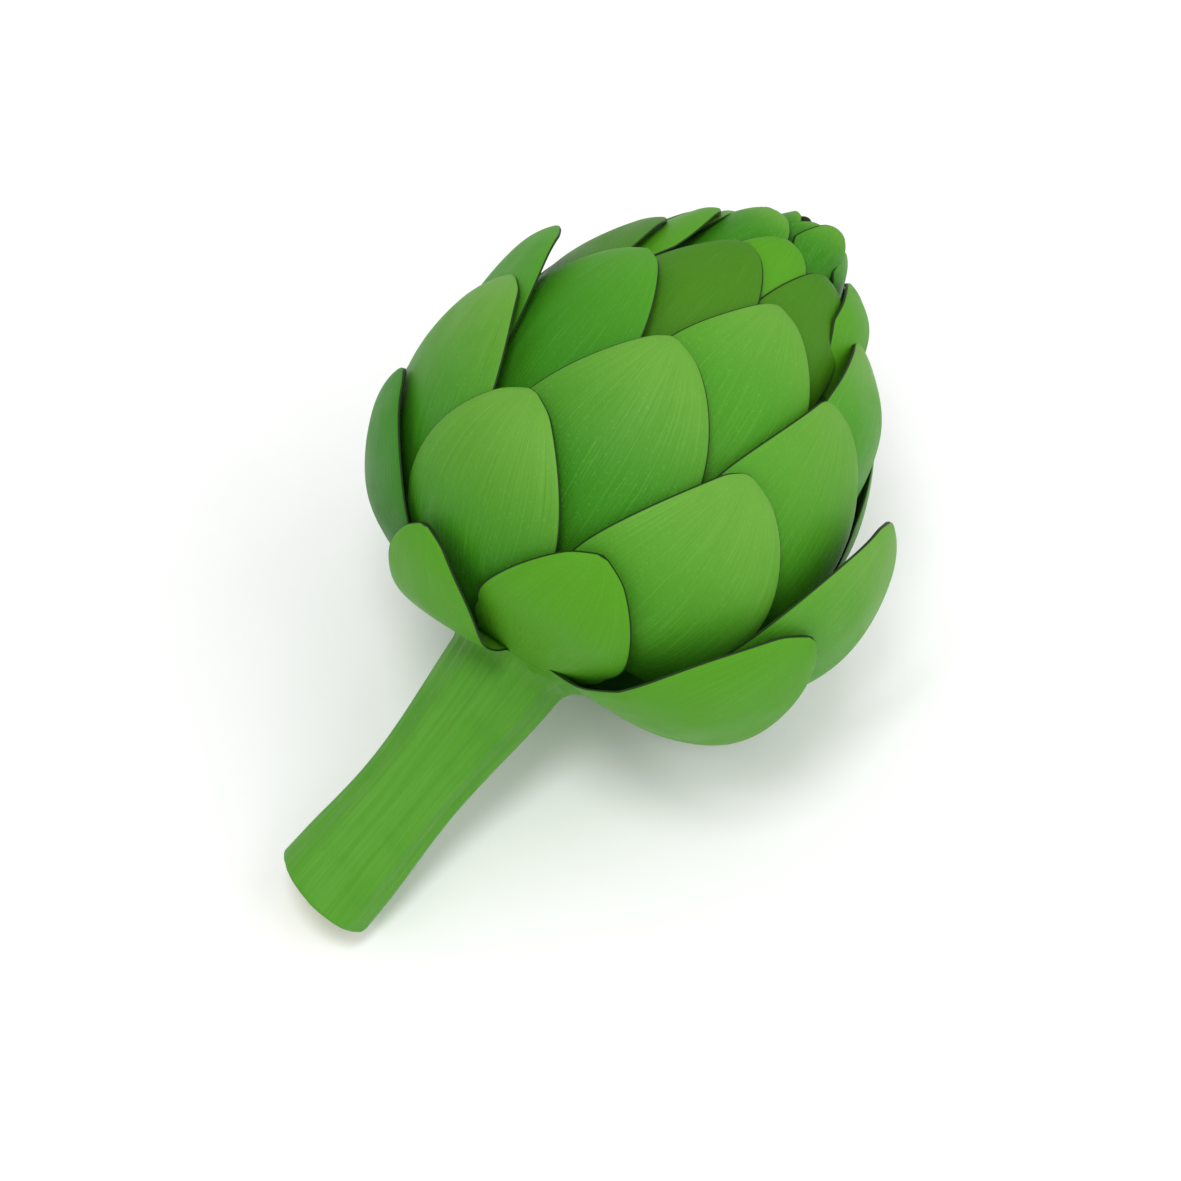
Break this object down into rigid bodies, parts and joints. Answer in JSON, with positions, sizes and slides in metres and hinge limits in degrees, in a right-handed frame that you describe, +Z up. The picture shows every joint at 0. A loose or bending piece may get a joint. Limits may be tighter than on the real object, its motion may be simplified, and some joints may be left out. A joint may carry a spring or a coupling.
{
  "type": "artichoke",
  "caption": "Fresh globe artichoke with its cut stem, lying on its side: a rounded head of overlapping smooth-tipped green bracts on a thick ribbed stalk.",
  "frame": {"origin": "middle of the footprint's box, on the surface that the artichoke lies on", "axes": "+X level, from the stem's cut end towards the head's apex; +Z up from the surface; the growth axis leans up by 28.8 degrees in the XZ plane"},
  "size_m": [0.1571, 0.1069, 0.1039],
  "materials": {
    "bract": "waxy satin green plant skin, darker where covered and lighter towards the tip",
    "stem": "matte mid-green ribbed stalk with a pale fibrous cut end"
  },
  "bodies": {
    "root": {"head": "bract", "stem": "stem"}
  },
  "joints": []
}
